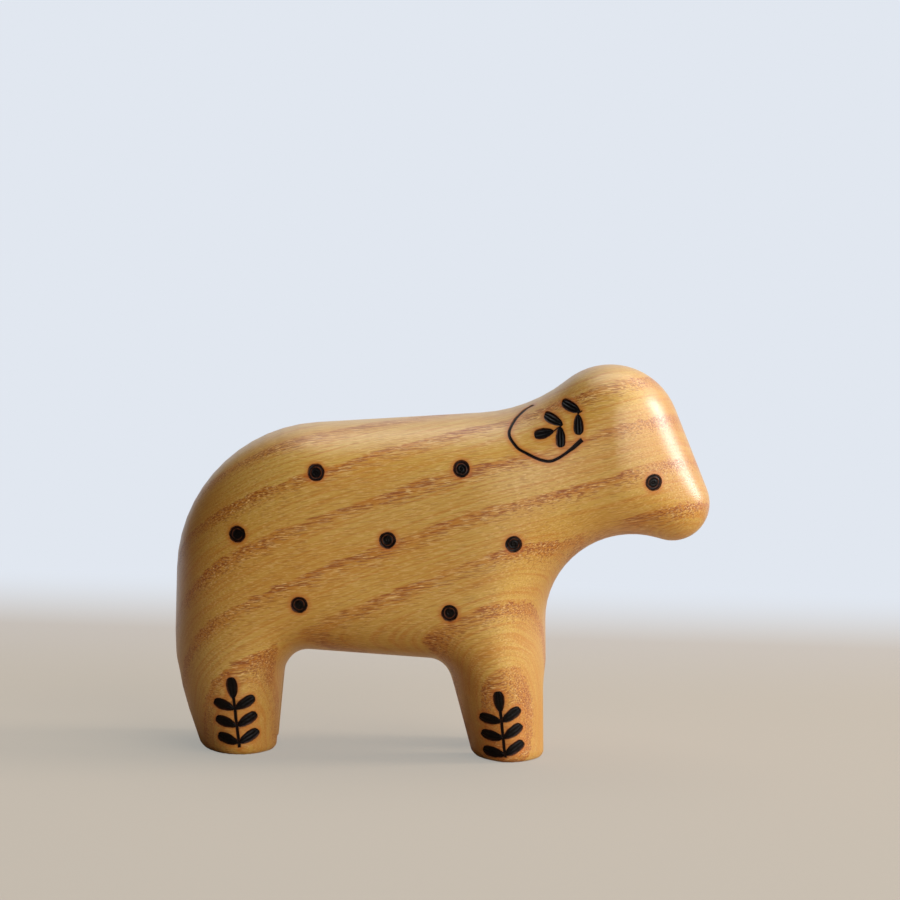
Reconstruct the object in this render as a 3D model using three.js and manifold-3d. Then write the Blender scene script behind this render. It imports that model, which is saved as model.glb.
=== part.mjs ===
// A small standing lamb, carved from one block of wood, sanded round and oiled.
// Dots, eyes, ears and leaf sprigs are burned into both sides as shallow charred inlays.
// Millimetres, +Z up. The lamb faces +X, its right side faces -Y, and it stands on Z = 0.

import * as THREE from 'three';
import { mergeVertices } from 'three/addons/utils/BufferGeometryUtils.js';
import Module from 'manifold-3d';

// Side outline. Lengths along X are measured from the rump, heights from the floor.
const bodyLength = 79.7;
const rumpHeight = 26.7;
const rumpRadius = 22.3;
const hockHeight = 17.2;
const hockRadius = 34.0;
const rearFootBack = 4.2;
const rearFootFront = 16.2;
const bellyRearHeight = 15.0;
const bellyRearStart = 16.9;
const bellyFrontHeight = 14.2;
const bellyFrontEnd = 41.5;
const bellyCornerRadius = 3.3;
const frontFootBack = 44.8;
const frontFootFront = 56.4;
const footRadius = 2.0;
const legOverrun = 12.0;
const chestReach = 55.6;
const throatHeight = 33.75;
const throatRadius = 12.9;
const muzzleHeight = 38.5;
const muzzleRadius = 5.6;
const crownReach = 64.5;
const crownHeight = 59.0;
const crownRadius = 10.4;
const backHeight = 51.0;
const backReach = 43.0;
const napeRadius = 22.5;

// Widths across the lamb, and how its edges are rounded over.
const rumpWidth = 25.0;
const barrelWidth = 28.0;
const cheekWidth = 23.0;
const muzzleWidth = 17.0;
const footSpread = 24.4;
const roundOver = 12.0;
const roundFullness = 2.3;
const soleRounding = 1.0;
const legGapWidth = 5.4;
const legGapHeight = 12.6;
const legGapRounding = 2.0;

// Burned marks: how far the char lies below the wood, how thick it is and its seat's clearance.
const charSink = 0.15;
const charThickness = 0.5;
const charClearance = 0.2;
const dotDiameter = 2.45;
const eyeDiameter = 2.45;
const eyeBehindMuzzle = 3.3;
const eyeAboveMuzzle = 4.2;
const earLineWidth = 0.6;
const earRootBehindCrown = 12.4;
const earTopBehindCrown = 4.5;
const earSprigAlong = 6.8;
const earSprigBelow = 4.0;
const earSprigPairs = 2;
const earSprigHeading = 175.5;
const earSprigSpacing = 3.2;
const earLeafLength = 2.8;
const earLeafWidth = 1.4;
const rearSprigHeight = 1.3;
const rearSprigBehindToe = 5.6;
const frontSprigHeight = 0.7;
const frontSprigBehindToe = 6.3;
const legSprigPairs = 3;
const legSprigHeading = 98;
const legSprigSpacing = 2.6;
const legLeafLength = 3.1;
const legLeafWidth = 1.6;
const leafSpread = 62;
const leafBaseHandle = 0.12;
const leafTipHandle = 0.85;
const stemWidth = 0.55;
const stubLength = 0.6;
const topLeafGap = 1.5;

// Dot places on the flank: share from rump to chest, and share from belly to back.
const flankDots = [
  [0.375, 0.78],
  [0.76, 0.815],
  [0.17, 0.515],
  [0.57, 0.515],
  [0.905, 0.51],
  [0.34, 0.235],
  [0.74, 0.22],
];

// The ear's burned stroke, from its root down round the ear's tip and back up towards the cheek:
// distances from the root along the slope of the nape, and below it.
const earLine = [
  [-0.3, 0.45],
  [-2.3, 0.25],
  [-4.55, 1.55],
  [-4.4, 3.4],
  [-3.15, 5.75],
  [-1.2, 7.85],
  [1.75, 8.05],
  [4.7, 7.55],
];

// Fineness of the carved surface, of its outline and of the marks.
const carvingCell = 2.4;
const blankMargin = 7.2;
const outlineStep = 0.2;
const markSegments = 7;
const leafSegments = 4;

const wasm = await Module();
wasm.setup();

// A point of the side view.
const point = (x, z) => new THREE.Vector2(x, z);

// The outline is a belt of rounds joined by their common tangents, in counter-clockwise order.
// A round with a negative radius is a hollow. The legs run on below the floor and are cut there.
const legEnds = -legOverrun;
const rounds = [
  { x: rearFootBack + footRadius, z: legEnds, r: footRadius },
  { x: rearFootFront - footRadius, z: legEnds, r: footRadius },
  { x: rearFootFront - footRadius, z: 0, r: footRadius },
  { x: bellyRearStart + bellyCornerRadius, z: bellyRearHeight - bellyCornerRadius, r: -bellyCornerRadius },
  { x: bellyFrontEnd - bellyCornerRadius, z: bellyFrontHeight - bellyCornerRadius, r: -bellyCornerRadius },
  { x: frontFootBack + footRadius, z: 0, r: footRadius },
  { x: frontFootBack + footRadius, z: legEnds, r: footRadius },
  { x: frontFootFront - footRadius, z: legEnds, r: footRadius },
  { x: frontFootFront - footRadius, z: 0, r: footRadius },
  { x: chestReach + throatRadius, z: throatHeight - throatRadius, r: -throatRadius },
  { x: bodyLength - muzzleRadius, z: muzzleHeight, r: muzzleRadius },
  { x: crownReach, z: crownHeight - crownRadius, r: crownRadius },
  { x: backReach, z: backHeight + napeRadius, r: -napeRadius },
  { x: rumpRadius, z: rumpHeight, r: rumpRadius },
  { x: hockRadius, z: hockHeight, r: hockRadius },
  { x: rearFootBack + footRadius, z: 0, r: footRadius },
];

// Direction, seen from both centres, of the points where one round's tangent meets the next round.
// Where a hollow and a bulge are too close for a tangent, they meet on the line of their centres.
function tangentAngle(from, to) {
  const span = Math.hypot(to.x - from.x, to.z - from.z);
  const heading = Math.atan2(to.z - from.z, to.x - from.x);
  return heading - Math.acos(THREE.MathUtils.clamp((from.r - to.r) / span, -1, 1));
}

function beltOutline() {
  const points = [];
  rounds.forEach((round, i) => {
    const before = rounds.at(i - 1);
    const after = rounds[(i + 1) % rounds.length];
    const start = tangentAngle(before, round);
    const turn = tangentAngle(round, after) - start;
    const sweep = Math.atan2(Math.sin(turn), Math.cos(turn));
    const steps = Math.max(1, Math.ceil(Math.abs(sweep) / outlineStep));
    for (let k = 0; k <= steps; k++) {
      const angle = start + (sweep * k) / steps;
      const arm = point(round.r * Math.cos(angle), round.r * Math.sin(angle));
      points.push(arm.add(point(round.x, round.z)));
    }
  });
  return points.filter((here, i) => here.distanceTo(points.at(i - 1)) > 1e-6);
}

const outline = beltOutline();

// Height of the lamb's top line above a place along its length.
function topLine(x) {
  const heights = outline.map((a, i) => {
    const b = outline[(i + 1) % outline.length];
    const share = (x - a.x) / (b.x - a.x);
    return share >= 0 && share < 1 ? THREE.MathUtils.lerp(a.y, b.y, share) : 0;
  });
  return Math.max(...heights);
}

// Smooth depth of a point below the side outline: positive inside, negative outside. Each piece of
// the outline counts by the cube of its nearness, so the depth has no crease along the middle.
const leastOffset = 1e-3;
function depthBelowOutline(x, z) {
  let nearness = 0;
  for (let i = 0; i < outline.length; i++) {
    const a = outline[i];
    const b = outline[(i + 1) % outline.length];
    const length = a.distanceTo(b);
    const ux = (b.x - a.x) / length;
    const uz = (b.y - a.y) / length;
    const side = (a.x - x) * uz - (a.y - z) * ux;
    const off = side < 0 ? Math.min(side, -leastOffset) : Math.max(side, leastOffset);
    const start = (a.x - x) * ux + (a.y - z) * uz;
    const sineStart = start / Math.hypot(start, off);
    const sineEnd = (start + length) / Math.hypot(start + length, off);
    nearness += (sineEnd - sineEnd ** 3 / 3 - sineStart + sineStart ** 3 / 3) / off ** 3;
  }
  return Math.sign(nearness) * Math.cbrt(4 / 3 / Math.abs(nearness));
}

// Half the lamb's width at a point of the side view, before its edges are rounded.
function halfWidth(x, z) {
  const { lerp, smoothstep } = THREE.MathUtils;
  const rear = lerp(rumpWidth, barrelWidth, smoothstep(x, 0, rumpRadius));
  const head = lerp(rear, cheekWidth, smoothstep(x, backReach, crownReach));
  const front = lerp(head, muzzleWidth, smoothstep(x, crownReach, bodyLength));
  return lerp(footSpread, front, smoothstep(z, 0, bellyRearHeight)) / 2;
}

function smoothMax(a, b, blend) {
  const overlap = Math.max(0, 1 - Math.abs(a - b) / blend);
  return Math.max(a, b) + (blend / 4) * overlap ** 2;
}

// The carved surface is where this is zero: rounded body, gap between the legs, feet that draw in
// towards their soles. It ends one cell below the floor, where the soles are then sawn flat.
function carving(x, y, z, depth = depthBelowOutline(x, z)) {
  const inward = Math.max(0, 1 - depth / roundOver);
  const across = Math.abs(y) / halfWidth(x, z);
  const body = roundOver * ((across ** roundFullness + inward ** roundFullness) ** (1 / roundFullness) - 1);
  const gapCentre = legGapHeight - legGapWidth / 2;
  const gap = legGapWidth / 2 - Math.hypot(y, Math.max(0, z - gapCentre));
  const nearSole = THREE.MathUtils.clamp(1 - z / soleRounding, 0, 1);
  const drawnIn = (soleRounding / 2) * nearSole ** 2;
  return Math.max(smoothMax(body, gap, legGapRounding) + drawnIn, -z - carvingCell);
}

// Moves a point onto the carved surface along the surface's own normal.
function settle(place) {
  const step = 10 * leastOffset;
  const slope = new THREE.Vector3();
  for (let i = 0; i < 6; i++) {
    const { x, y, z } = place;
    const value = carving(x, y, z);
    slope.set(
      (carving(x + step, y, z) - carving(x - step, y, z)) / (2 * step),
      (carving(x, y + step, z) - carving(x, y - step, z)) / (2 * step),
      (carving(x, y, z + step) - carving(x, y, z - step)) / (2 * step),
    );
    const move = THREE.MathUtils.clamp(value / slope.lengthSq(), -carvingCell, carvingCell);
    place.addScaledVector(slope, -move);
  }
  return place;
}

// Skins the carving with one vertex in each grid cell that the surface crosses, and one quad across
// each grid edge that it crosses. Grid nodes lie half a cell off the floor and off the middle plane.
function carvedGeometry() {
  const margin = Math.ceil(blankMargin / carvingCell);
  const widest = Math.max(rumpWidth, barrelWidth, cheekWidth, muzzleWidth, footSpread) / 2;
  const countX = Math.ceil(bodyLength / carvingCell) + 2 * margin;
  const countY = 2 * (Math.ceil(widest / carvingCell) + margin);
  const countZ = Math.ceil(crownHeight / carvingCell) + 2 * margin;
  const atX = (i) => (i - margin) * carvingCell;
  const atY = (j) => (j - (countY - 1) / 2) * carvingCell;
  const atZ = (k) => (k - margin + 0.5) * carvingCell;
  const node = (i, j, k) => (i * countY + j) * countZ + k;

  const values = new Float64Array(countX * countY * countZ);
  for (let i = 0; i < countX; i++) {
    for (let k = 0; k < countZ; k++) {
      const depth = depthBelowOutline(atX(i), atZ(k));
      for (let j = 0; j < countY; j++) {
        values[node(i, j, k)] = carving(atX(i), atY(j), atZ(k), depth);
      }
    }
  }

  const corners = [];
  for (const i of [0, 1]) for (const j of [0, 1]) for (const k of [0, 1]) corners.push([i, j, k]);
  const edges = [];
  corners.forEach((a, ia) => corners.forEach((b, ib) => {
    const apart = Math.abs(a[0] - b[0]) + Math.abs(a[1] - b[1]) + Math.abs(a[2] - b[2]);
    if (ia < ib && apart === 1) edges.push([a, b]);
  }));

  const positions = [];
  const vertexOfCell = new Map();
  for (let i = 0; i < countX - 1; i++) {
    for (let j = 0; j < countY - 1; j++) {
      for (let k = 0; k < countZ - 1; k++) {
        const centre = new THREE.Vector3();
        let crossings = 0;
        for (const [a, b] of edges) {
          const va = values[node(i + a[0], j + a[1], k + a[2])];
          const vb = values[node(i + b[0], j + b[1], k + b[2])];
          if (va < 0 === vb < 0) continue;
          const t = va / (va - vb);
          centre.x += atX(i + a[0] + t * (b[0] - a[0]));
          centre.y += atY(j + a[1] + t * (b[1] - a[1]));
          centre.z += atZ(k + a[2] + t * (b[2] - a[2]));
          crossings++;
        }
        if (crossings === 0) continue;
        vertexOfCell.set(node(i, j, k), positions.length / 3);
        positions.push(...settle(centre.divideScalar(crossings)).toArray());
      }
    }
  }

  const at = (v) => new THREE.Vector3().fromArray(positions, 3 * v);
  const index = [];
  const addQuad = (a, b, c, d) => {
    if (at(a).distanceTo(at(c)) < at(b).distanceTo(at(d))) index.push(a, b, c, a, c, d);
    else index.push(a, b, d, b, c, d);
  };
  const axes = [[1, 0, 0], [0, 1, 0], [0, 0, 1]];
  for (let i = 1; i < countX - 1; i++) {
    for (let j = 1; j < countY - 1; j++) {
      for (let k = 1; k < countZ - 1; k++) {
        axes.forEach((axis, n) => {
          const here = values[node(i, j, k)] < 0;
          const there = values[node(i + axis[0], j + axis[1], k + axis[2])] < 0;
          if (here === there) return;
          const u = axes[(n + 1) % 3];
          const v = axes[(n + 2) % 3];
          const cell = (p, q) => vertexOfCell.get(
            node(i - p * u[0] - q * v[0], j - p * u[1] - q * v[1], k - p * u[2] - q * v[2]),
          );
          const ring = [cell(1, 1), cell(0, 1), cell(0, 0), cell(1, 0)];
          addQuad(...(here ? ring : ring.reverse()));
        });
      }
    }
  }

  const geometry = new THREE.BufferGeometry();
  geometry.setAttribute('position', new THREE.Float32BufferAttribute(positions, 3));
  geometry.setIndex(index);
  return geometry;
}

function toSolid(geometry) {
  geometry.deleteAttribute('normal');
  geometry.deleteAttribute('uv');
  const merged = mergeVertices(geometry, 1e-4);
  return new wasm.Manifold(new wasm.Mesh({
    numProp: 3,
    vertProperties: new Float32Array(merged.attributes.position.array),
    triVerts: new Uint32Array(merged.index.array),
  }));
}

function toGeometry(solid) {
  const mesh = solid.getMesh();
  const geometry = new THREE.BufferGeometry();
  geometry.setAttribute('position', new THREE.BufferAttribute(new Float32Array(mesh.vertProperties), 3));
  geometry.setIndex(new THREE.BufferAttribute(new Uint32Array(mesh.triVerts), 1));
  geometry.computeVertexNormals();
  return geometry;
}

// Marks are drawn in the side view as flat shapes. `grow` widens a mark into the seat cut for it.
const polar = (origin, degrees, length) => {
  const angle = THREE.MathUtils.degToRad(degrees);
  return point(origin.x + length * Math.cos(angle), origin.y + length * Math.sin(angle));
};

function dotShapes(centre, diameter, grow) {
  const shape = new THREE.Shape();
  shape.absarc(centre.x, centre.y, diameter / 2 + grow, 0, 2 * Math.PI);
  return [{ shape, segments: markSegments }];
}

// A leaf with two full sides and blunt ends. A side's curve swells to three quarters of the distance
// of its two handles, which stand beside the leaf near its base and near its tip.
function leafShape(base, heading, length, width, grow) {
  const start = polar(base, heading, -grow);
  const tip = polar(base, heading, length + grow);
  const bulge = (width / 2 + grow) / 0.75;
  const near = polar(base, heading, leafBaseHandle * length);
  const far = polar(base, heading, leafTipHandle * length);
  const shape = new THREE.Shape();
  const side = (from, turn) => polar(from, heading + turn, bulge);
  shape.moveTo(start.x, start.y);
  shape.bezierCurveTo(...side(near, -90), ...side(far, -90), tip.x, tip.y);
  shape.bezierCurveTo(...side(far, 90), ...side(near, 90), start.x, start.y);
  return { shape, segments: leafSegments };
}

// A straight stroke of the burning tip with square ends.
function strokeShape(from, heading, length, width, grow) {
  const start = polar(from, heading, -grow);
  const end = polar(from, heading, length + grow);
  const half = width / 2 + grow;
  const shape = new THREE.Shape([
    polar(start, heading - 90, half),
    polar(end, heading - 90, half),
    polar(end, heading + 90, half),
    polar(start, heading + 90, half),
  ]);
  return { shape, segments: 1 };
}

// A stem with opposite pairs of leaves and one leaf at its tip.
function sprigShapes(base, heading, pairs, spacing, leafLength, leafWidth, grow) {
  const lastPair = stubLength + (pairs - 1) * spacing;
  const stemLength = lastPair + topLeafGap;
  const shapes = [strokeShape(base, heading, stemLength + stemWidth, stemWidth, grow)];
  for (let i = 0; i < pairs; i++) {
    const fork = polar(base, heading, stubLength + i * spacing);
    shapes.push(leafShape(fork, heading + leafSpread, leafLength, leafWidth, grow));
    shapes.push(leafShape(fork, heading - leafSpread, leafLength, leafWidth, grow));
  }
  shapes.push(leafShape(polar(base, heading, stemLength), heading, leafLength, leafWidth, grow));
  return shapes;
}

// The ear is one curved stroke of even width.
function earLineShapes(onEar, grow) {
  const spine = new THREE.SplineCurve(earLine.map(([along, below]) => onEar(along, below)));
  const samples = 2 * markSegments;
  const half = earLineWidth / 2 + grow;
  const left = [];
  const right = [];
  for (let i = 0; i <= samples; i++) {
    const along = spine.getTangent(i / samples);
    const overshoot = i === 0 ? -grow : i === samples ? grow : 0;
    const at = spine.getPoint(i / samples).addScaledVector(along, overshoot);
    left.push(point(at.x - half * along.y, at.y + half * along.x));
    right.unshift(point(at.x + half * along.y, at.y - half * along.x));
  }
  return [{ shape: new THREE.Shape([...left, ...right]), segments: 1 }];
}

// Every mark of one side by name, as a function of how far its outline is grown.
function marksOfOneSide() {
  const muzzle = point(bodyLength - muzzleRadius, muzzleHeight);
  const onTopLine = (x) => point(x, topLine(x));
  const earRoot = onTopLine(crownReach - earRootBehindCrown);
  const earTop = onTopLine(crownReach - earTopBehindCrown);
  const napeSlope = THREE.MathUtils.radToDeg(earTop.sub(earRoot).angle());
  const onEar = (along, below) => polar(polar(earRoot, napeSlope, along), napeSlope - 90, below);
  const legSprig = (base) => (grow) => sprigShapes(
    base, legSprigHeading, legSprigPairs, legSprigSpacing, legLeafLength, legLeafWidth, grow,
  );
  const marks = {
    eye: (grow) => dotShapes(point(muzzle.x - eyeBehindMuzzle, muzzle.y + eyeAboveMuzzle), eyeDiameter, grow),
    ear_line: (grow) => earLineShapes(onEar, grow),
    ear_sprig: (grow) => sprigShapes(
      onEar(earSprigAlong, earSprigBelow),
      napeSlope + earSprigHeading, earSprigPairs, earSprigSpacing, earLeafLength, earLeafWidth, grow,
    ),
    front_leg_sprig: legSprig(point(frontFootFront - frontSprigBehindToe, frontSprigHeight)),
    rear_leg_sprig: legSprig(point(rearFootFront - rearSprigBehindToe, rearSprigHeight)),
  };
  flankDots.forEach(([along, up], i) => {
    const centre = point(
      along * chestReach,
      THREE.MathUtils.lerp(bellyRearHeight, backHeight, up),
    );
    marks[`flank_dot_${i + 1}`] = (grow) => dotShapes(centre, dotDiameter, grow);
  });
  return marks;
}

// A mark's shapes as one prism that runs from the middle plane out past the lamb's side.
function markPrism(shapes, side) {
  const reach = Math.max(rumpWidth, barrelWidth, cheekWidth, muzzleWidth, footSpread);
  const prisms = shapes.map(({ shape, segments }) => {
    const options = { depth: reach, bevelEnabled: false, curveSegments: segments };
    const geometry = new THREE.ExtrudeGeometry(shape, options);
    geometry.rotateX(Math.PI / 2);
    if (side > 0) geometry.translate(0, reach, 0);
    return toSolid(geometry);
  });
  return prisms.reduce((all, prism) => all.add(prism));
}

const wood = new THREE.MeshStandardMaterial({ color: 0xbe8c4b, roughness: 0.45, metalness: 0 });
const char = new THREE.MeshStandardMaterial({ color: 0x1e1614, roughness: 0.55, metalness: 0 });
const lamb = new THREE.Group();

function addPiece(name, solid, material) {
  const mesh = new THREE.Mesh(toGeometry(solid), material);
  mesh.name = name;
  lamb.add(mesh);
}

// The soles are sawn flat on the floor.
function carvedBlank() {
  const floor = new THREE.BoxGeometry(2 * bodyLength, 2 * bodyLength, bodyLength);
  floor.translate(0, 0, -bodyLength / 2);
  return toSolid(carvedGeometry()).subtract(toSolid(floor));
}

// Each side's marks are slices of a thin shell under the wood's surface, in seats cut for them.
const carved = carvedBlank();
let body = carved;
const chars = [];
const sides = { right: -1, left: 1 };
for (const [sideName, side] of Object.entries(sides)) {
  const sunkBy = (distance) => carved.translate([0, -side * distance, 0]);
  const charBottom = charSink + charThickness;
  const shell = sunkBy(charSink).subtract(sunkBy(charBottom));
  const seatFloor = sunkBy(charBottom + charClearance);
  for (const [markName, shapes] of Object.entries(marksOfOneSide())) {
    chars.push([`${sideName}_${markName}`, shell.intersect(markPrism(shapes(0), side))]);
    body = body.subtract(markPrism(shapes(charClearance), side).subtract(seatFloor));
  }
}
addPiece('carved_body', body, wood);
chars.forEach(([name, solid]) => addPiece(name, solid, char));

// The origin is on the floor, under the middle of the lamb's length.
lamb.position.x = -bodyLength / 2;

export default lamb;
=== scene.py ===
"""A small carved lamb with burned ornament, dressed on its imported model.

Metres, +Z up. The lamb faces +X, its right side faces -Y, and it stands on Z = 0.
"""

import math

import bpy
import numpy as np
from mathutils import Matrix, Vector


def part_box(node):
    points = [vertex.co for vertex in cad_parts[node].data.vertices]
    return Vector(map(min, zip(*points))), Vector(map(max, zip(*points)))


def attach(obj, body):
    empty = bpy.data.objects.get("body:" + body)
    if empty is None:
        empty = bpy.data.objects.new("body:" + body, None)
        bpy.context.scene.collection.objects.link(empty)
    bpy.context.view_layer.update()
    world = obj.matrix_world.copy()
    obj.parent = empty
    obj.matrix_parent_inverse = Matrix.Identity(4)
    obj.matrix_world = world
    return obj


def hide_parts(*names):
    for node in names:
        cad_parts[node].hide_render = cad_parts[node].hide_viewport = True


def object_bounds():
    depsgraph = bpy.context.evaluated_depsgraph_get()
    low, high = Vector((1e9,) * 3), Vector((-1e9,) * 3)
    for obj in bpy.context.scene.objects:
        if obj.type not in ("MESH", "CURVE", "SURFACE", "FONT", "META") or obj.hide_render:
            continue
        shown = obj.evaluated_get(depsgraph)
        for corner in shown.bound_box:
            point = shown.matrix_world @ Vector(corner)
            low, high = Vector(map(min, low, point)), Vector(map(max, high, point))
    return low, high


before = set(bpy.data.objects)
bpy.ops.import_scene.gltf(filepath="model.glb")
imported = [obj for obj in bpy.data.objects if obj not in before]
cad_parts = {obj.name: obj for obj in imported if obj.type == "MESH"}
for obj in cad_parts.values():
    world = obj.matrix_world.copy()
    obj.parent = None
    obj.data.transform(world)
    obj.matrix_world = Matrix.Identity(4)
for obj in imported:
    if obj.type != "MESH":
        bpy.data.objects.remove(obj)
cad_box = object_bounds()

# Carved body
# One block of ring-porous hardwood holds head, barrel and all four legs. It is sawn to the side
# outline, carved until every edge is round, sanded along the grain and rubbed with oil.

mm = 0.001
rump = cad_box[0].x

# The side outline is a belt round these rounds: distance from the rump, height and radius in
# millimetres. A negative radius is a hollow. The legs run on below the floor and are sawn off there.
outline_rounds = [
    (6.2, -12.0, 2.0),  # rear foot
    (14.2, -12.0, 2.0),
    (14.2, 0.0, 2.0),
    (20.2, 11.7, -3.3),  # belly
    (38.2, 10.9, -3.3),
    (46.8, 0.0, 2.0),  # front foot
    (46.8, -12.0, 2.0),
    (54.4, -12.0, 2.0),
    (54.4, 0.0, 2.0),
    (68.5, 20.85, -12.9),  # throat
    (74.1, 38.5, 5.6),  # muzzle
    (64.5, 48.6, 10.4),  # crown
    (43.0, 73.5, -22.5),  # nape
    (22.3, 26.7, 22.3),  # rump
    (34.0, 17.2, 34.0),  # hock
    (6.2, 0.0, 2.0),
]
arc_step = 0.12  # radians between points of a round
least_offset = 1e-3  # keeps the depth steady on the outline itself


def tangent_angle(start, end):
    dx, dz = end[0] - start[0], end[1] - start[1]
    slack = (start[2] - end[2]) / math.hypot(dx, dz)
    return math.atan2(dz, dx) - math.acos(max(-1, min(1, slack)))


def belt_outline(rounds):
    points = []
    for i, (x, z, r) in enumerate(rounds):
        start = tangent_angle(rounds[i - 1], rounds[i])
        turn = tangent_angle(rounds[i], rounds[(i + 1) % len(rounds)]) - start
        sweep = math.atan2(math.sin(turn), math.cos(turn))
        for angle in start + sweep * np.linspace(0, 1, 2 + int(abs(sweep) / arc_step)):
            points.append((x + r * math.cos(angle), z + r * math.sin(angle)))
    points = np.array(points)
    return points[np.linalg.norm(points - np.roll(points, 1, axis=0), axis=1) > 1e-6]


outline = belt_outline(outline_rounds)


def depth_below_outline(x, z):
    """Smooth depth inside the side outline. Each stretch counts by the cube of its nearness."""
    nearness = np.zeros_like(x)
    for (ax, az), (bx, bz) in zip(outline, np.roll(outline, -1, axis=0)):
        length = math.hypot(bx - ax, bz - az)
        ux, uz = (bx - ax) / length, (bz - az) / length
        side = (ax - x) * uz - (az - z) * ux
        off = np.where(side < 0, np.minimum(side, -least_offset), np.maximum(side, least_offset))
        start = (ax - x) * ux + (az - z) * uz
        s0 = start / np.hypot(start, off)
        s1 = (start + length) / np.hypot(start + length, off)
        nearness += (s1 - s1**3 / 3 - s0 + s0**3 / 3) / off**3
    return np.sign(nearness) * np.cbrt(4 / 3 / np.abs(nearness))


def smoothstep(value, low, high):
    t = np.clip((value - low) / (high - low), 0, 1)
    return t * t * (3 - 2 * t)


# Widths across the lamb, the distances from the rump where they are reached, and the feet's spread.
rump_width, barrel_width, cheek_width, muzzle_width = 25.0, 28.0, 23.0, 17.0
barrel_start, barrel_end, cheek_place, nose = 22.3, 43.0, 64.5, 79.7
foot_spread, leg_height = 24.4, 15.0


def half_width(x, z):
    """Half the lamb's width at a place of the side view."""
    width = rump_width + (barrel_width - rump_width) * smoothstep(x, 0, barrel_start)
    width = width + (cheek_width - width) * smoothstep(x, barrel_end, cheek_place)
    width = width + (muzzle_width - width) * smoothstep(x, cheek_place, nose)
    return (foot_spread + (width - foot_spread) * smoothstep(z, 0, leg_height)) / 2


# How far and how full the edges are rounded over, the slot between the legs and the soles' edge.
round_over, fullness = 12.0, 2.3
slot_radius, slot_middle, slot_rounding = 2.7, 9.9, 2.0
sole_rounding = 1.0

# The sawn blank along the lamb, across it and up, and the least slope that a point is settled by.
blank_box = ((-3, 83), (-16.1, 16.2), (-2.1, 62))
least_slope = 0.2


def carving(x, y, z, depth):
    """Zero on the carved surface, less than zero in the wood."""
    inward = np.maximum(0, 1 - depth / round_over)
    across = np.abs(y) / half_width(x, z)
    body = round_over * ((across**fullness + inward**fullness) ** (1 / fullness) - 1)
    slot = slot_radius - np.hypot(y, np.maximum(0, z - slot_middle))
    near_slot = np.maximum(0, 1 - np.abs(body - slot) / slot_rounding)
    joined = np.maximum(body, slot) + slot_rounding / 4 * near_slot**2
    drawn_in = sole_rounding / 2 * np.clip(1 - z / sole_rounding, 0, 1) ** 2
    return np.maximum(joined + drawn_in, -z)


def carved_skin(cell):
    """Quads over the carving: a vertex in each grid cell it crosses, a quad at each grid edge."""
    xs, ys, zs = (np.arange(low, high, cell) for low, high in blank_box)
    depth = depth_below_outline(*np.meshgrid(xs, zs, indexing="ij"))
    values = carving(xs[:, None, None], ys[None, :, None], zs[None, None, :], depth[:, None, :])
    crossings, rings = [], []
    for axis in range(3):
        here, there = np.delete(values, -1, axis), np.delete(values, 0, axis)
        edge = np.argwhere((here < 0) != (there < 0))
        a, b = here[tuple(edge.T)], there[tuple(edge.T)]
        place = edge.astype(float)
        place[:, axis] += a / (a - b)
        u, v = np.eye(3, dtype=int)[[(axis + 1) % 3, (axis + 2) % 3]]
        ring = np.stack([edge - u - v, edge - v, edge, edge - u], axis=1)
        ring[a > 0] = ring[a > 0][:, ::-1]
        crossings.append(place)
        rings.append(np.ravel_multi_index(tuple(np.moveaxis(ring, -1, 0)), values.shape))
    quads = np.unique(np.concatenate(rings), return_inverse=True)[1].reshape(-1, 4)
    share = 1 / np.bincount(quads.ravel())
    spread = np.repeat(np.concatenate(crossings), 4, axis=0)
    places = np.stack([np.bincount(quads.ravel(), spread[:, k]) * share for k in range(3)], axis=1)
    return places * cell + (xs[0], ys[0], zs[0]), quads


def settled(places, step=0.01):
    """Moves points onto the carved surface, along its normal."""
    x, y, z = places.T
    depth = depth_below_outline(x, z)
    value = carving(x, y, z, depth)
    nudges = [
        carving(x + step, y, z, depth_below_outline(x + step, z)),
        carving(x, y + step, z, depth),
        carving(x, y, z + step, depth_below_outline(x, z + step)),
    ]
    slope = (np.stack(nudges, axis=1) - value[:, None]) / step
    return places - slope * (value / np.maximum(least_slope, (slope**2).sum(axis=1)))[:, None]


places, quads = carved_skin(cell=0.45)
places = settled(places)
places[:, 2] = np.maximum(places[:, 2], 0)
places[:, 0] += rump / mm
blank = bpy.data.meshes.new("carved_body")
blank.from_pydata(places * mm, [], quads.tolist())
blank.shade_smooth()
body = bpy.data.objects.new("lamb_body", blank)
bpy.context.scene.collection.objects.link(body)


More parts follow.
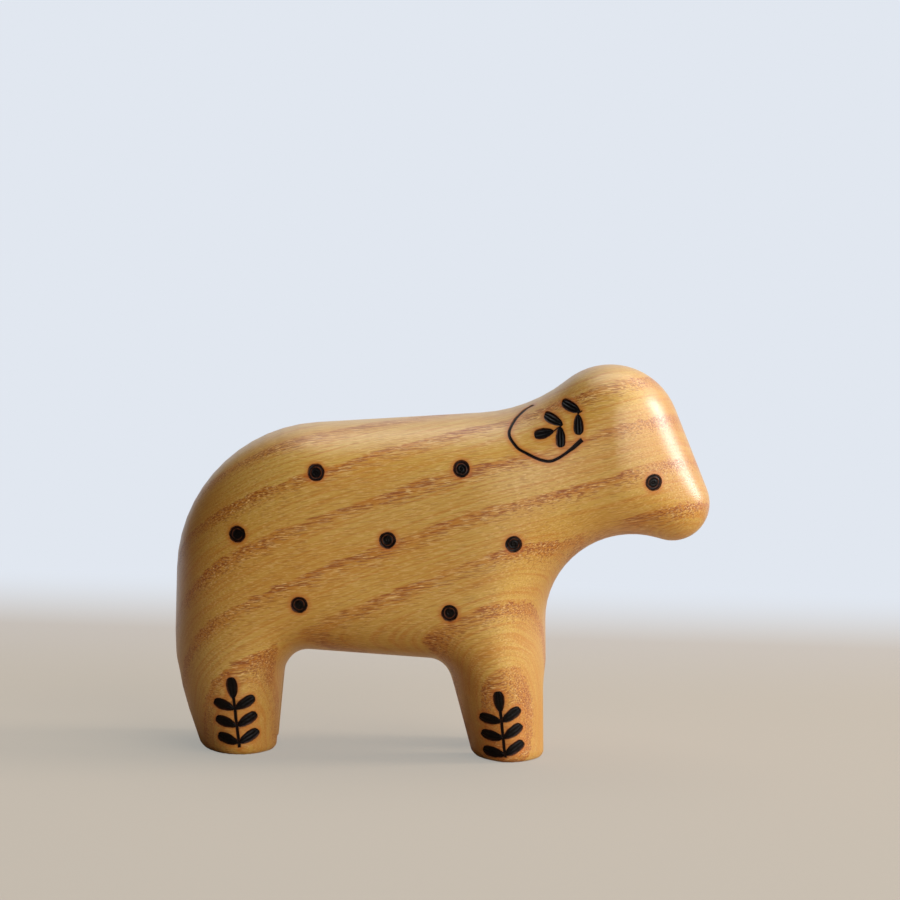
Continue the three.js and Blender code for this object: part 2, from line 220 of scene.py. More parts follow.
class Bench:
    """Lays out the nodes of one tree. A socket given as an input is linked, another value is set."""

    def __init__(self, tree):
        self.tree = tree

    def node(self, kind, *inputs, **settings):
        node = self.tree.nodes.new(kind)
        for name, value in settings.items():
            setattr(node, name, value)
        for socket, value in zip([s for s in node.inputs if s.enabled], inputs):
            self.plug(socket, value)
        return node

    def plug(self, socket, value):
        if isinstance(value, bpy.types.NodeSocket):
            self.tree.links.new(value, socket)
        elif value is not None:
            socket.default_value = value

    def __call__(self, kind, *inputs, **settings):
        return next(s for s in self.node(kind, *inputs, **settings).outputs if s.enabled)

    def math(self, operation, *inputs):
        return self("ShaderNodeMath", *inputs, operation=operation)

    def vector(self, operation, *inputs):
        return self("ShaderNodeVectorMath", *inputs, operation=operation)

    def measure(self, operation, *inputs):
        """A length or a dot product."""
        return self.node("ShaderNodeVectorMath", *inputs, operation=operation).outputs["Value"]

    def step(self, value, low, high):
        return self("ShaderNodeMapRange", value, low, high, 0, 1, interpolation_type="SMOOTHSTEP")

    def mix(self, share, first, second):
        return self("ShaderNodeMix", share, first, second, data_type="RGBA")

    def place(self):
        """A place on the object, in metres."""
        return self.node("ShaderNodeTexCoord").outputs["Object"]

    def attribute(self, label):
        return self.node("ShaderNodeAttribute", attribute_name=label).outputs["Fac"]

    def streaks(self, place, along, across, detail=1.0, shift=0.0):
        """Noise drawn out along the fibres: sizes of its grains in millimetres."""
        grain = self.vector("MULTIPLY_ADD", place, (1 / along, 1 / across, 1 / across), (shift,) * 3)
        return self("ShaderNodeTexNoise", grain, 1.0, detail, 0.5)

    def surface(self, **inputs):
        """Wires or sets inputs of the tree's own surface, named like Base_Color."""
        surface = self.tree.nodes["Principled BSDF"]
        for label, value in inputs.items():
            self.plug(surface.inputs[label.replace("_", " ")], value)
        return surface.outputs[0]


def new_material(name):
    material = bpy.data.materials.new(name)
    material.use_nodes = True
    return material, Bench(material.node_tree)


def colour(red, green, blue):
    """A colour read off the object as 0 to 255, as the shaders need it."""
    return tuple(((c / 255 + 0.055) / 1.055) ** 2.4 for c in (red, green, blue)) + (1.0,)


# The rings lie round a heart line that passes outside the lamb's right flank, near its feet. They
# cut the flank in slanting bands and arch over the legs. Each ring ends in a sharp row of pores.
ring_width = 6.5
ring_shift = -7.55
ring_start = 0.38
heart_place = (0.0, -27.8, 0.7)
heart_slope = math.radians(15.7)
heart_dive = math.radians(13.3)
heart_line = (
    math.cos(heart_slope) * math.cos(heart_dive),
    math.sin(heart_dive),
    math.sin(heart_slope) * math.cos(heart_dive),
)
fibre_slope = math.radians(9.0)

latewood = colour(206, 167, 82)
latewood_warm = colour(201, 154, 65)
band_tint = colour(190, 114, 22)
band_edge = colour(176, 94, 12)
pore_dark = colour(140, 66, 4)
# Painted highlight: the cream laid on as colour for glints in the pores and sparkle in the grain.
painted_glint_cream = colour(244, 212, 144)
end_wood = colour(140, 66, 20)
toasted = colour(186, 98, 26)
scorched = colour(84, 40, 16)

oiled_wood, bench = new_material("oiled_wood")
place = bench.vector("SCALE", bench.place(), 1 / mm)
grain = bench("ShaderNodeMapping", place, (0, 0, 0), (0, fibre_slope, 0))
off_heart = bench.vector("CROSS_PRODUCT", bench.vector("SUBTRACT", place, heart_place), heart_line)
age = bench.math("MULTIPLY_ADD", bench.measure("LENGTH", off_heart), 1 / ring_width, ring_shift)
sway = bench.streaks(grain, along=50, across=16, detail=2)
age = bench.math("MULTIPLY_ADD", sway, 0.5, age)

# Fine lines that follow the rings: their length, thickness and width in millimetres.
hair_length, hair_thickness, hair_width = 18, 0.3, 7
along, beside, _ = bench.node("ShaderNodeSeparateXYZ", grain).outputs
layers = bench("ShaderNodeCombineXYZ", bench.math("MULTIPLY", along, 1 / hair_length),
               bench.math("MULTIPLY", age, ring_width / hair_thickness),
               bench.math("MULTIPLY", beside, 1 / hair_width))
hair = bench("ShaderNodeTexNoise", layers, 1.0, 3.0, 0.55)

# Where a place lies in its ring, from 0 to 1. The pores grow denser up to the ring's ragged end.
ragged = bench.streaks(grain, along=8, across=0.6, detail=2, shift=17)
age = bench.math("MULTIPLY_ADD", ragged, 0.25, age)
ring = bench.math("FRACT", bench.math("SUBTRACT", age, ring_start))
before_end = bench.math("SUBTRACT", 1.0, bench.step(ring, 0.95, 1.0))
uneven = bench.streaks(grain, along=14, across=5, detail=2, shift=43)
uneven = bench("ShaderNodeMapRange", uneven, 0.35, 0.6, 0.45, 1.0)
before_end = bench.math("MULTIPLY", before_end, uneven)
porous = bench.math("MULTIPLY", bench.step(ring, 0.5, 0.86), before_end)
last_row = bench.math("MULTIPLY", bench.step(ring, 0.7, 0.95), before_end)

cloud = bench.streaks(grain, along=25, across=9, detail=3, shift=5)
fleck = bench.streaks(grain, along=1.1, across=0.17, detail=2, shift=91)
pores = bench.streaks(grain, along=3.2, across=0.2, shift=53)
pores = bench.step(bench.math("MULTIPLY_ADD", porous, 0.09, pores), 0.57, 0.64)
pores = bench.math("MULTIPLY", pores, bench.math("MULTIPLY_ADD", porous, 0.7, 0.3))
# Painted highlights: cream dashes in the pores, where the oil catches the light.
painted_pore_glints = bench.step(bench.streaks(grain, along=2.0, across=0.2, shift=71), 0.61, 0.67)
painted_pore_glints = bench.math("MULTIPLY", painted_pore_glints, porous)

# Layers of colour, each laid over the last: where it lies, how strong it is and its tone. The cream
# glints in the pores and the light flecks are painted highlights, where oil catches the light. End
# grain drinks more oil and darkens, and wood beside a mark is toasted.
end_grain = bench.attribute("end_grain")
heat = bench.attribute("scorch")
tone = bench.mix(bench.step(cloud, 0.35, 0.65), latewood, latewood_warm)
for where, strength, layer in (
    (porous, 0.4, band_tint),
    (last_row, 0.5, band_edge),
    (bench.step(hair, 0.4, 0.68), 0.55, band_tint),
    (painted_pore_glints, 0.75, painted_glint_cream),
    (pores, 0.8, pore_dark),
    # Painted sparkle: light flecks in the cream of the painted highlights.
    (bench.step(fleck, 0.48, 0.7), 0.32, painted_glint_cream),
    (bench.step(end_grain, 0.35, 0.95), 0.33, end_wood),
    (bench.step(heat, 0.0, 0.9), 0.6, toasted),
    (bench.step(heat, 0.8, 1.0), 0.8, scorched),
):
    tone = bench.mix(bench.math("MULTIPLY", where, strength), tone, layer)

# Oil lies glossy on the dense wood and sinks into the pores. Sanding leaves faint hollows.
oil_roughness, pore_depth, hollow_depth = 0.25, 0.04 * mm, 0.10 * mm
sheen = bench.math("MULTIPLY_ADD", fleck, 0.2, oil_roughness)
sheen = bench.math("MULTIPLY_ADD", pores, 0.15, sheen)
height = bench.math("MULTIPLY_ADD", pores, -1.0, bench.math("MULTIPLY", fleck, 0.6))
height = bench.math("MULTIPLY_ADD", hair, 0.5, height)
hollows = bench("ShaderNodeTexNoise", place, 0.13, 1.0, 0.5)
hollows = bench("ShaderNodeBump", 1.0, hollow_depth, 0.1, hollows)
bench.surface(
    Base_Color=tone,
    Roughness=sheen,
    Normal=bench("ShaderNodeBump", 0.5, pore_depth, 0.1, height, hollows),
    Specular_IOR_Level=0.5,
    Coat_Weight=0.5,
    Coat_Roughness=0.3,
)
blank.materials.append(oiled_wood)

# Burned dots
# The tip of a burning pen is pressed into the wood and turned, which leaves a small black disc with
# a brown rim and fine ridges in a shallow seat. Seven lie on each flank, and one is each eye.


def new_tree(name, *sockets):
    """A geometry tree with named inputs: its bench and the inputs to wire from."""
    tree = bpy.data.node_groups.new(name, "GeometryNodeTree")
    tree.interface.new_socket("Geometry", in_out="OUTPUT", socket_type="NodeSocketGeometry")
    for label, kind in (("Geometry", "Geometry"),) + sockets:
        tree.interface.new_socket(label, in_out="INPUT", socket_type="NodeSocket" + kind)
    bench = Bench(tree)
    return bench, bench.node("NodeGroupInput").outputs


def named(bench, label, data_type="FLOAT"):
    return bench("GeometryNodeInputNamedAttribute", label, data_type=data_type)


def store(bench, geometry, label, value, data_type="FLOAT"):
    return bench("GeometryNodeStoreNamedAttribute", geometry, True, label, value,
                 data_type=data_type)


def join(bench, *parts):
    whole = bench.node("GeometryNodeJoinGeometry")
    for part in parts:
        bench.tree.links.new(part, whole.inputs[0])
    return whole.outputs[0]


def split(bench):
    return bench.node("ShaderNodeSeparateXYZ", bench("GeometryNodeInputPosition")).outputs


# Drawings are made this far beside the lamb's middle, and the hand trembles by up to this much.
sheet_distance = 20 * mm
tremble_size = 0.18 * mm


def outward_of_side(bench):
    """Straight out of the flank that a point of a drawing lies beside."""
    return bench("ShaderNodeCombineXYZ", 0, bench.math("SIGN", split(bench)[1]), 0)


burn_sockets = (
    ("Wood", "Object"),
    ("Sink", "Float"),
    ("Thickness", "Float"),
    ("Relief", "Float"),
    ("Grow", "Float"),
    ("Rows", "Int"),
    ("Char", "Material"),
)


def wood_of(bench, given):
    return bench.node("GeometryNodeObjectInfo", given["Wood"]).outputs["Geometry"]


def wood_normal(bench, wood):
    """Straight out of the wood that is nearest."""
    smooth = bench("GeometryNodeFieldOnDomain", bench("GeometryNodeInputNormal"),
                   data_type="FLOAT_VECTOR", domain="POINT")
    place = bench("GeometryNodeInputPosition")
    return bench("GeometryNodeSampleNearestSurface", wood, smooth, 0, place,
                 data_type="FLOAT_VECTOR")


def carried_in(bench, wood, drawing):
    """Carries a drawing beside the lamb straight in to the wood, with the tremble of a hand."""
    place = bench("GeometryNodeInputPosition")
    inward = bench.vector("SCALE", outward_of_side(bench), -1.0)
    reach = 2 * sheet_distance
    met = bench.node("GeometryNodeRaycast", wood, None, place, inward, reach).outputs["Hit Position"]
    drawing = bench("GeometryNodeSetPosition", drawing, True, met)
    tremble = bench.node("ShaderNodeTexNoise", place, 1.3 / mm, 1.0, 0.5).outputs["Color"]
    tremble = bench.vector("SUBTRACT", tremble, (0.5, 0.5, 0.5))
    tremble = bench.vector("SCALE", tremble, tremble_size)
    return bench("GeometryNodeSetPosition", drawing, True, None, tremble)


def burned_into_wood(bench, given, wood, drawing):
    """Makes a drawing on the wood a body in its seat, with its "rise" as ridges on the top."""
    nearest = bench("GeometryNodeProximity", wood, 0, None, 0, target_element="FACES")
    drawing = bench("GeometryNodeSetPosition", drawing, True, nearest)
    drawing = store(bench, drawing, "outward", wood_normal(bench, wood), "FLOAT_VECTOR")
    outward = named(bench, "outward", "FLOAT_VECTOR")
    facing = bench.measure("DOT_PRODUCT", bench("GeometryNodeInputNormal"), outward)
    backwards = bench("FunctionNodeCompare", facing, 0.0, operation="LESS_THAN")
    drawing = bench("GeometryNodeFlipFaces", drawing, backwards)
    lowest = bench.math("MULTIPLY", bench.math("ADD", given["Sink"], given["Thickness"]), -1.0)
    lowered = bench.vector("SCALE", outward, lowest)
    under = bench("GeometryNodeSetPosition", drawing, True, None, lowered)
    raised = bench.node("GeometryNodeExtrudeMesh", under, True, (0, 0, 0), 0.0, False)
    pressure = bench("ShaderNodeTexNoise", bench("GeometryNodeInputPosition"), 1.5 / mm, 2.0, 0.6)
    rise = bench.math("MULTIPLY", named(bench, "rise"), bench.step(pressure, 0.3, 0.65))
    rise = bench.math("MULTIPLY_ADD", rise, given["Relief"], given["Thickness"])
    upper = bench("GeometryNodeSetPosition", raised.outputs["Mesh"], raised.outputs["Top"], None,
                  bench.vector("SCALE", outward, rise))
    whole = join(bench, upper, bench("GeometryNodeFlipFaces", under))
    whole = bench("GeometryNodeMergeByDistance", whole, True, 0.0005 * mm)
    whole = bench("GeometryNodeSetShadeSmooth", whole, True, True)
    whole = bench("GeometryNodeRealizeInstances", whole)
    bench.node("NodeGroupOutput", bench("GeometryNodeSetMaterial", whole, True, given["Char"]))
    return bench.tree


def dot_tree():
    bench, given = new_tree("burned_dot", *burn_sockets, ("Diameter", "Float"), ("Turns", "Float"))
    segments, groove = 49, 0.64
    disc = bench("GeometryNodeMeshGrid", 1, 1, given["Rows"], segments)
    out, round_it, _ = split(bench)
    out = bench.math("ADD", out, 0.5)
    turn = bench.math("MULTIPLY", bench.math("ADD", round_it, 0.5), 2 * math.pi)
    spiral = bench.math("MULTIPLY", out, bench.math("MULTIPLY", given["Turns"], 2 * math.pi))
    ridge = bench.math("COSINE", bench.math("ADD", spiral, turn))
    ridge = bench.math("MULTIPLY", ridge, bench.step(out, 0.0, 0.25))
    disc = store(bench, disc, "rise", bench.math("ADD", ridge, bench.step(out, 0.8, 1.0)))
    scraped = bench.math("ABSOLUTE", bench.math("SUBTRACT", out, groove))
    scraped = bench("ShaderNodeMapRange", scraped, 0.03, 0.08, 0.8, 0.0)
    browned = bench.math("MAXIMUM", scraped, bench.step(out, 0.85, 0.97))
    disc = store(bench, disc, "browned", browned)
    arm = bench.math("MULTIPLY_ADD", given["Diameter"], 0.5, given["Grow"])
    arm = bench.math("MULTIPLY", out, arm)
    flat = bench("ShaderNodeCombineXYZ", bench.math("MULTIPLY", arm, bench.math("COSINE", turn)),
                 bench.math("MULTIPLY", arm, bench.math("SINE", turn)), 0)
    disc = bench("GeometryNodeSetPosition", disc, True, flat)
    disc = bench("GeometryNodeMergeByDistance", disc, True, 0.001 * mm)
    facing = bench("FunctionNodeAxesToRotation", outward_of_side(bench), (1, 0, 0),
                   primary_axis="Z", secondary_axis="X")
    spin = bench("FunctionNodeRandomValue", 0.0, 2 * math.pi, None, 7)
    spin = bench("FunctionNodeEulerToRotation", bench("ShaderNodeCombineXYZ", 0, 0, spin))
    facing = bench("FunctionNodeRotateRotation", facing, spin, rotation_space="LOCAL")
    dots = bench("GeometryNodeInstanceOnPoints", given["Geometry"], True, disc, False, 0, facing)
    wood = wood_of(bench, given)
    dots = carried_in(bench, wood, bench("GeometryNodeRealizeInstances", dots))
    return burned_into_wood(bench, given, wood, dots)


class Drawing:
    """Dots, strokes and leaves on the side view, in millimetres from the rump and the floor."""

    def __init__(self):
        self.points, self.edges, self.headings, self.widths = [], [], [], []

    def stroke(self, points, width):
        first = len(self.points)
        self.points += points
        self.edges += [(i, i + 1) for i in range(first, len(self.points) - 1)]
        self.headings += [(0, 0)] * len(points)
        self.widths += [width] * len(points)

    def leaf(self, base, degrees, length, width):
        angle = math.radians(degrees)
        self.points.append(base)
        self.headings.append((length * math.cos(angle), length * math.sin(angle)))
        self.widths.append(width)

    def dot(self, middle):
        self.leaf(middle, 0, 0, 0)


sides = {"right": -1, "left": 1}


def run_tree(name, tree, mesh, **inputs):
    """Runs a geometry tree on a mesh and returns the result as a plain mesh object."""
    piece = bpy.data.objects.new(name, mesh)
    bpy.context.scene.collection.objects.link(piece)
    maker = piece.modifiers.new(tree.name, "NODES")
    maker.node_group = tree
    identifiers = {s.name: s.identifier for s in tree.interface.items_tree if s.in_out == "INPUT"}
    for label, value in inputs.items():
        maker[identifiers[label.capitalize()]] = value
    graph = bpy.context.evaluated_depsgraph_get()
    piece.data = bpy.data.meshes.new_from_object(piece.evaluated_get(graph))
    piece.modifiers.clear()
    return piece


# Edges of char sharper than this stay crisp.
mark_edge = math.radians(60)


def burn(name, tree, drawing, on_sides, **inputs):
    """Burns a drawing into the flanks that are named."""
    places, edges, headings = [], [], []
    for side in on_sides:
        edges += [(a + len(places), b + len(places)) for a, b in drawing.edges]
        y = sides[side] * sheet_distance
        places += [(rump + x * mm, y, z * mm) for x, z in drawing.points]
        headings += [(x * mm, 0.0, z * mm) for x, z in drawing.headings]
    plan = bpy.data.meshes.new(name)
    plan.from_pydata(places, edges, [])
    aims = plan.attributes.new("heading", "FLOAT_VECTOR", "POINT")
    aims.data.foreach_set("vector", np.ravel(headings))
    widths = plan.attributes.new("width", "FLOAT", "POINT")
    widths.data.foreach_set("value", np.array(drawing.widths * len(on_sides)) * mm)
    mark = run_tree(name, tree, plan, wood=body, **inputs)
    mark.data.set_sharp_from_angle(angle=mark_edge)
    return mark


soot_black = colour(6, 5, 6)
soot_grey = colour(20, 15, 14)
browned_wood = colour(96, 52, 32)

char, bench = new_material("char")
place = bench.vector("SCALE", bench.place(), 1 / mm)
crumbs = bench("ShaderNodeTexNoise", place, 6.0, 3.0, 0.6)
patches = bench("ShaderNodeTexNoise", place, 1.1, 2.0, 0.5)
browned = bench.math("MULTIPLY", bench.attribute("browned"), bench.step(patches, 0.3, 0.6))
soot = bench.mix(bench.step(crumbs, 0.4, 0.75), soot_black, soot_grey)
bench.surface(
    Base_Color=bench.mix(browned, soot, browned_wood),
    Roughness=bench.math("MULTIPLY_ADD", crumbs, 0.3, 0.2),
    Normal=bench("ShaderNodeBump", 0.5, 0.04 * mm, 0.1, crumbs),
    Specular_IOR_Level=0.12,
)

# How deep the char lies, and the same for the cutter of its seat, which starts above the wood.
charred = dict(char=char, sink=0.10 * mm, thickness=0.28 * mm, relief=0.05 * mm, grow=0.0, rows=25)
seat = dict(char=char, sink=-0.30 * mm, thickness=0.72 * mm, relief=0.0, grow=0.03 * mm, rows=5)
marks = []
seat_cutters = []


def finish_mark(mark, *nodes):
    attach(mark, "root")
    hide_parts(*nodes)
    marks.append(mark)


pen_turns = 2.5
burned_dot = dot_tree()
for group in ("flank_dot", "eye"):
    for side in sides:
        nodes = sorted(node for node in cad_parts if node.startswith(f"{side}_{group}"))
        dots = Drawing()
        for node in nodes:
            low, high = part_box(node)
            dots.dot(((low.x + high.x) / 2 / mm - rump / mm, (low.z + high.z) / 2 / mm))
        sizes = dict(diameter=high.x - low.x, turns=pen_turns)
        mark = burn(f"{side}_{group}_char", burned_dot, dots, [side], **charred, **sizes)
        finish_mark(mark, *nodes)
    seat_cutters.append(burn("seats", burned_dot, dots, sides, **seat, **sizes))

# Burned leaf sprigs
# Each leaf is three drags of the pen side by side, set in pairs along a thin stem with one more at
# its end. A sprig grows up each leg, and a smaller one lies in each ear.

# Fineness of the marks: steps along a stroke, points across it and points along a leaf.
stroke_step = 0.12 * mm
pen_points = 7
leaf_points = 25


def stroke_tree():
    bench, given = new_tree("burned_strokes", *burn_sockets, ("Drags", "Float"))
    path = bench("GeometryNodeMeshToCurve", given["Geometry"], True)
    path = bench("GeometryNodeCurveSplineType", path, True, spline_type="CATMULL_ROM")
    path = bench("GeometryNodeResampleCurve", path, True, stroke_step, mode="LENGTH")
    wood = wood_of(bench, given)
    path = carried_in(bench, wood, path)
    flowing = bench("GeometryNodeBlurAttribute", bench("GeometryNodeInputPosition"), 8, 1.0,
                    data_type="FLOAT_VECTOR")
    path = bench("GeometryNodeSetPosition", path, True, flowing)
    path = bench("GeometryNodeSetCurveNormal", path, True, wood_normal(bench, wood), mode="FREE")
    pen = bench("GeometryNodeCurvePrimitiveLine", (0, -1, 0), (0, 1, 0))
    pen = bench("GeometryNodeResampleCurve", pen, True, pen_points, mode="COUNT")
    beside = bench.math("POWER", split(bench)[1], 2.0)
    pen = store(bench, pen, "rise", bench.math("SUBTRACT", beside, 0.5))
    pen = store(bench, pen, "browned", bench.math("MULTIPLY", beside, 0.35))
    half = bench.math("MULTIPLY_ADD", named(bench, "width"), 0.5, given["Grow"])
    strokes = bench("GeometryNodeCurveToMesh", path, pen, half, False)

    blade = bench("GeometryNodeMeshGrid", 1, 2, leaf_points, given["Rows"])
    along, beside, _ = split(bench)
    along = bench.math("ADD", along, 0.5)
    swell = bench.math("MULTIPLY", bench.math("POWER", along, 0.58), 0.92)
    blunted = bench.math("POWER", bench.math("SUBTRACT", 1.006, along), 0.35)
    swell = bench.math("MULTIPLY", blunted, swell)
    waves = bench.math("MULTIPLY", given["Drags"], math.pi)
    drags = bench.math("COSINE", bench.math("MULTIPLY", bench.math("ADD", beside, 1.0), waves))
    blade = store(bench, blade, "rise", drags)
    rim = bench.math("POWER", bench.math("ABSOLUTE", beside), 8.0)
    blade = store(bench, blade, "browned", rim)
    outline = bench("ShaderNodeCombineXYZ", along, bench.math("MULTIPLY", beside, swell), 0)
    blade = bench("GeometryNodeSetPosition", blade, True, outline)
    blade = bench("GeometryNodeMergeByDistance", blade, True, 0.0001)
    heading = named(bench, "heading", "FLOAT_VECTOR")
    length = bench.measure("LENGTH", heading)
    twice = bench.math("MULTIPLY", given["Grow"], 2.0)
    size = bench("ShaderNodeCombineXYZ", bench.math("ADD", length, twice),
                 bench.math("ADD", named(bench, "width"), twice), 1.0)
    facing = bench("FunctionNodeAxesToRotation", outward_of_side(bench), heading,
                   primary_axis="Z", secondary_axis="X")
    back = bench.math("MULTIPLY", given["Grow"], -1.0)
    back = bench.vector("SCALE", bench.vector("NORMALIZE", heading), back)
    bases = bench("GeometryNodeSetPosition", given["Geometry"], True, None, back)
    is_leaf = bench("FunctionNodeCompare", length, 0.0, operation="GREATER_THAN")
    leaves = bench("GeometryNodeInstanceOnPoints", bases, is_leaf, blade, False, 0, facing, size)
    leaves = carried_in(bench, wood, bench("GeometryNodeRealizeInstances", leaves))
    return burned_into_wood(bench, given, wood, join(bench, strokes, leaves))


def beyond(start, degrees, distance):
    angle = math.radians(degrees)
    return start[0] + distance * math.cos(angle), start[1] + distance * math.sin(angle)


def draw_sprig(stem, before, behind, foot, heading, pairs, first, spacing, spread, leaf, lag,
               tip_gap, tip_turn, stretches, width):
    """Draws a stem, the leaves on either side of it and the one at its end on the given sheets.

    The pen draws the stem in stretches, from one share of its length to another. Leaves behind the
    stem lag a little towards its foot.
    """
    leaf_gap, stem_overrun = 0.05, 0.3
    end = first + (pairs - 1) * spacing + tip_gap
    for start, stop in stretches:
        shares = np.linspace(start, stop, 6)
        stem.stroke([beyond(foot, heading, d * (end + stem_overrun)) for d in shares], width)
    for i in range(pairs):
        for sheet, turn, back in ((before, spread[0], 0), (behind, -spread[1], lag)):
            fork = beyond(foot, heading, first + i * spacing - back)
            sheet.leaf(beyond(fork, heading + turn, leaf_gap), heading + turn, *leaf)
    before.leaf(beyond(foot, heading, end), heading + tip_turn, *leaf)


leg_sprig = dict(heading=97.5, pairs=3, leaf=(3.3, 1.65), lag=0.0, tip_turn=1.5,
                 stretches=[(0, 1)], width=0.42)
sprigs = {
    "rear_leg_sprig": dict(leg_sprig, foot=(10.5, 1.0), first=0.9, spacing=2.65,
                           spread=(64.5, 64.5), tip_gap=1.6),
    "front_leg_sprig": dict(leg_sprig, foot=(50.1, 0.6), first=0.6, spacing=2.6,
                            spread=(73, 61), tip_gap=1.5),
    "ear_sprig": dict(foot=(60.0, 53.2), heading=216.5, pairs=2, first=0.95, spacing=3.2,
                      spread=(57, 60), leaf=(2.9, 1.45), lag=0.45, tip_gap=1.2, tip_turn=-22,
                      stretches=[(0, 0.22), (0.62, 1)], width=0.2),
}
burned_strokes = stroke_tree()

# Stems and the leaves on either side are cut from sheets of their own, so no cutter crosses itself.
sheets = [Drawing(), Drawing(), Drawing()]
for name, shape in sprigs.items():
    sprig = Drawing()
    draw_sprig(sprig, sprig, sprig, **shape)
    draw_sprig(*sheets, **shape)
    for side in sides:
        mark = burn(f"{side}_{name}_char", burned_strokes, sprig, [side], drags=3.0, **charred)
        finish_mark(mark, f"{side}_{name}")

# Burned ear lines
# One slow stroke of the pen draws each ear, from the nape down round its tip and forward to the
# cheek. The pen rests at both ends, where the line is widest.

ear_line = Drawing()
ear_line.stroke([
    (52.9, 53.12), (52.2, 52.74), (51.5, 52.36), (50.2, 51.3), (49.3, 50.0),  # down the nape
    (49.2, 49.0), (50.4, 47.5), (51.9, 46.7), (53.6, 46.0), (55.1, 45.7),  # round the ear's tip
    (56.3, 46.1), (57.7, 47.0), (58.9, 48.0), (60.1, 49.1),  # forward to the cheek
], 0.42)
ear_line.widths[:4] = 0.9, 0.85, 0.75, 0.55
ear_line.widths[-2:] = 0.6, 0.66
for side in sides:
    mark = burn(f"{side}_ear_line_char", burned_strokes, ear_line, [side], drags=1.0, **charred)
    finish_mark(mark, f"{side}_ear_line")
sheets.append(ear_line)

# Each sheet's seats are a hair deeper than the last, so that no two floors lie in one plane.
seat_step = 0.03 * mm
for sheet in sheets:
    seat["thickness"] += seat_step
    seat_cutters.append(burn("seats", burned_strokes, sheet, sides, drags=3.0, **seat))

# Seats and toasted wood
# The pen burns every mark a little below the surface, and its heat browns the wood beside it for
# less than a millimetre. The seats are cut here, once the marks that lie in them are known.

for cutter in seat_cutters:
    cut = body.modifiers.new("seat", "BOOLEAN")
    cut.operation = "DIFFERENCE"
    cut.solver = "MANIFOLD"
    cut.object = cutter
graph = bpy.context.evaluated_depsgraph_get()
cut_wood = bpy.data.meshes.new_from_object(body.evaluated_get(graph))
for spent in [body, *seat_cutters]:
    bpy.data.objects.remove(spent)
hot = bpy.data.collections.new("hot_marks")
for mark in marks:
    hot.objects.link(mark)
bench, given = new_tree("toasted_wood", ("Marks", "Collection"), ("Reach", "Float"),
                        ("Fibre", "Vector"), ("Wood", "Material"))
heat = bench("GeometryNodeCollectionInfo", given["Marks"], False, False)
heat = bench("GeometryNodeRealizeInstances", heat)
nearest = bench.node("GeometryNodeProximity", heat, 0, None, 0, target_element="FACES")
away = nearest.outputs["Distance"]
warmth = bench("ShaderNodeMapRange", away, 0.0, given["Reach"], 1.0, 0.0)
along_fibre = bench.measure("DOT_PRODUCT", bench("GeometryNodeInputNormal"), given["Fibre"])
wood = store(bench, given["Geometry"], "scorch", warmth)
wood = store(bench, wood, "end_grain", bench.math("ABSOLUTE", along_fibre))
wood = bench("GeometryNodeRealizeInstances", wood)
bench.node("NodeGroupOutput", bench("GeometryNodeSetMaterial", wood, True, given["Wood"]))
fibre = (math.cos(fibre_slope), 0.0, math.sin(fibre_slope))
toast_reach = 0.85 * mm
body = run_tree("lamb_body", bench.tree, cut_wood, marks=hot, reach=toast_reach, fibre=fibre,
                wood=oiled_wood)
bpy.data.collections.remove(hot)
seat_edge = math.radians(40)
body.data.set_sharp_from_angle(angle=seat_edge)
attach(body, "root")
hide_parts("carved_body")

# Stage
# A pale floor runs back and bends up behind the lamb. A window at the right gives the gloss on head
# and chest, a wide light from the front right shows the flank, and the sky lights the back.

floor_side, floor_front, wall_top = 2.5, -1.5, 2.0
bend_start, bend = 0.55, 0.35
profile = [(floor_front, 0.0), (bend_start, 0.0)]
for angle in np.linspace(0.1, math.pi / 2, 12):
    profile.append((bend_start + bend * math.sin(angle), bend - bend * math.cos(angle)))
profile.append((bend_start + bend, wall_top))
sweep_mesh = bpy.data.meshes.new("sweep")
sweep_mesh.from_pydata(
    [(x, y, z) for y, z in profile for x in (-floor_side, floor_side)],
    [],
    [(2 * i, 2 * i + 1, 2 * i + 3, 2 * i + 2) for i in range(len(profile) - 1)],
)
sweep_mesh.shade_smooth()
sweep = bpy.data.objects.new("sweep", sweep_mesh)
bpy.context.scene.collection.objects.link(sweep)

# The floor fades into haze from just behind the lamb. Towards the left there is no haze, so the
# rump stays dark. Nearer, the haze only lifts what is seen, and the shadow with it.
floor_tint = colour(167, 146, 122)
near_haze = colour(215, 215, 209)
far_haze = colour(225, 231, 240)
near_share, mirrored_share = 0.5, 0.7
paper, bench = new_material("pale_sweep")
matt = bench.surface(Base_Color=floor_tint, Roughness=0.9, Specular_IOR_Level=0.1)
beside, behind, _ = bench.node("ShaderNodeSeparateXYZ", bench.place()).outputs
not_left = bench.step(beside, -0.6, -0.25)
distant = bench.math("MULTIPLY", bench.step(behind, 0.04, 0.17), not_left)
haze = bench("ShaderNodeEmission", bench.mix(distant, near_haze, far_haze), 1.0)
rays = bench.node("ShaderNodeLightPath").outputs
seen = bench.math("MULTIPLY", rays["Is Glossy Ray"], mirrored_share)
seen = bench.math("MAXIMUM", rays["Is Camera Ray"], seen)
seen = bench.math("MAXIMUM", seen, rays["Is Transmission Ray"])
nearby = bench.math("MULTIPLY", rays["Is Camera Ray"], near_share)
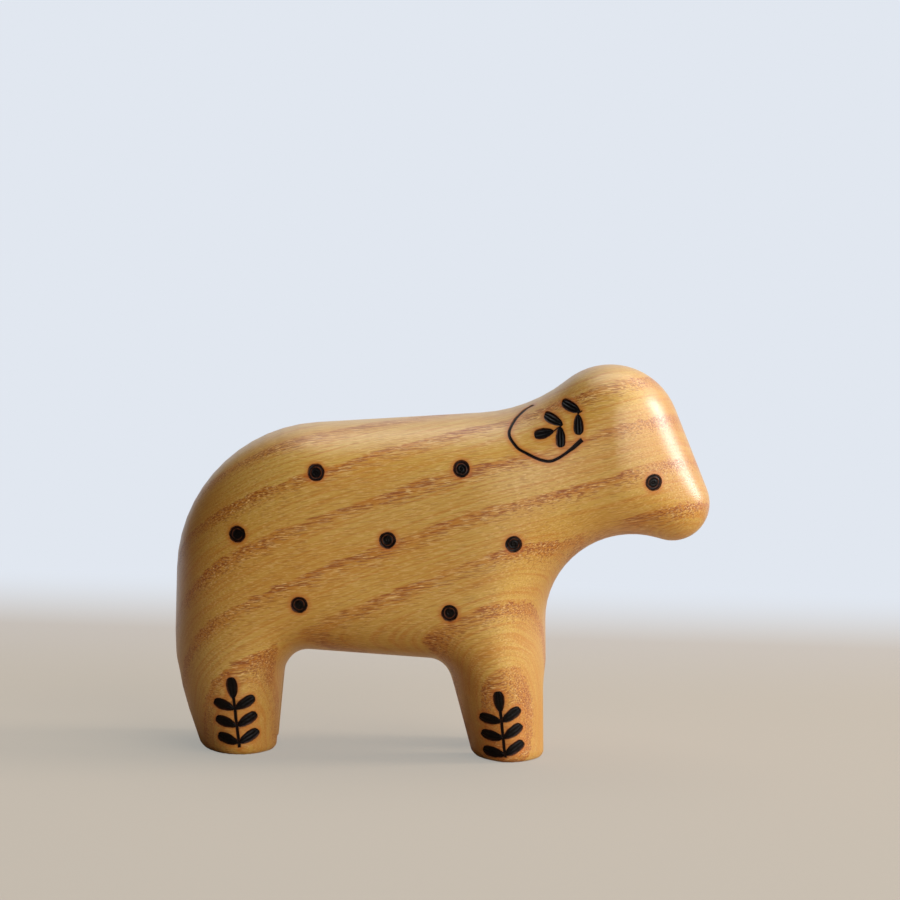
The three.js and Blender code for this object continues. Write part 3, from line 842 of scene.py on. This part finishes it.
shown = bench.math("MAXIMUM", bench.math("MULTIPLY", distant, seen), nearby)
shown = bench("ShaderNodeMixShader", shown, matt, haze)
bench.plug(bench.tree.nodes["Material Output"].inputs["Surface"], shown)
sweep_mesh.materials.append(paper)

world = bpy.data.worlds.new("studio")
bpy.context.scene.world = world
world.use_nodes = True
room = world.node_tree.nodes["Background"]
room.inputs["Color"].default_value = colour(250, 222, 190)  # warm walls, far off
room.inputs["Strength"].default_value = 0.04


def softbox(name, place, width, height, power):
    """A soft light in watts, turned to the lamb's middle."""
    lamp = bpy.data.lights.new(name, "AREA")
    lamp.shape = "RECTANGLE"
    lamp.size = width
    lamp.size_y = height
    lamp.energy = power
    stand = bpy.data.objects.new(name, lamp)
    stand.location = place
    aim = Vector((0, 0, 30 * mm)) - Vector(place)
    stand.rotation_euler = aim.to_track_quat("-Z", "Y").to_euler()
    bpy.context.scene.collection.objects.link(stand)


softbox("sky", place=(0.4, 0.4, 1.1), width=1.6, height=1.6, power=14.5)
softbox("window", place=(1.08, 0.14, 0.46), width=0.35, height=0.6, power=11.5)
softbox("fill", place=(0.9, -0.93, 0.5), width=1.5, height=1.5, power=20.2)

# The camera looks a little down on the right flank from 70 cm, and leans slightly.
target = Vector((0.65, 0.0, 45.48)) * mm
distance, field = 700 * mm, 135 * mm
lift = math.radians(7.0)
lean = math.radians(1.7)
back = Vector((0.0, -math.cos(lift), math.sin(lift)))
level = Vector((1.0, 0.0, 0.0))
upright = back.cross(level)
right = level * math.cos(lean) + upright * math.sin(lean)
up = upright * math.cos(lean) - level * math.sin(lean)
lens = bpy.data.cameras.new("camera")
lens.sensor_fit = "HORIZONTAL"
lens.sensor_width = 36.0
lens.lens = lens.sensor_width * distance / field
camera = bpy.data.objects.new("camera", lens)
turn = Matrix((right, up, back)).transposed().to_4x4()
camera.matrix_world = Matrix.Translation(target + back * distance) @ turn
bpy.context.scene.collection.objects.link(camera)
bpy.context.scene.camera = camera
bpy.context.scene.view_settings.view_transform = "Standard"
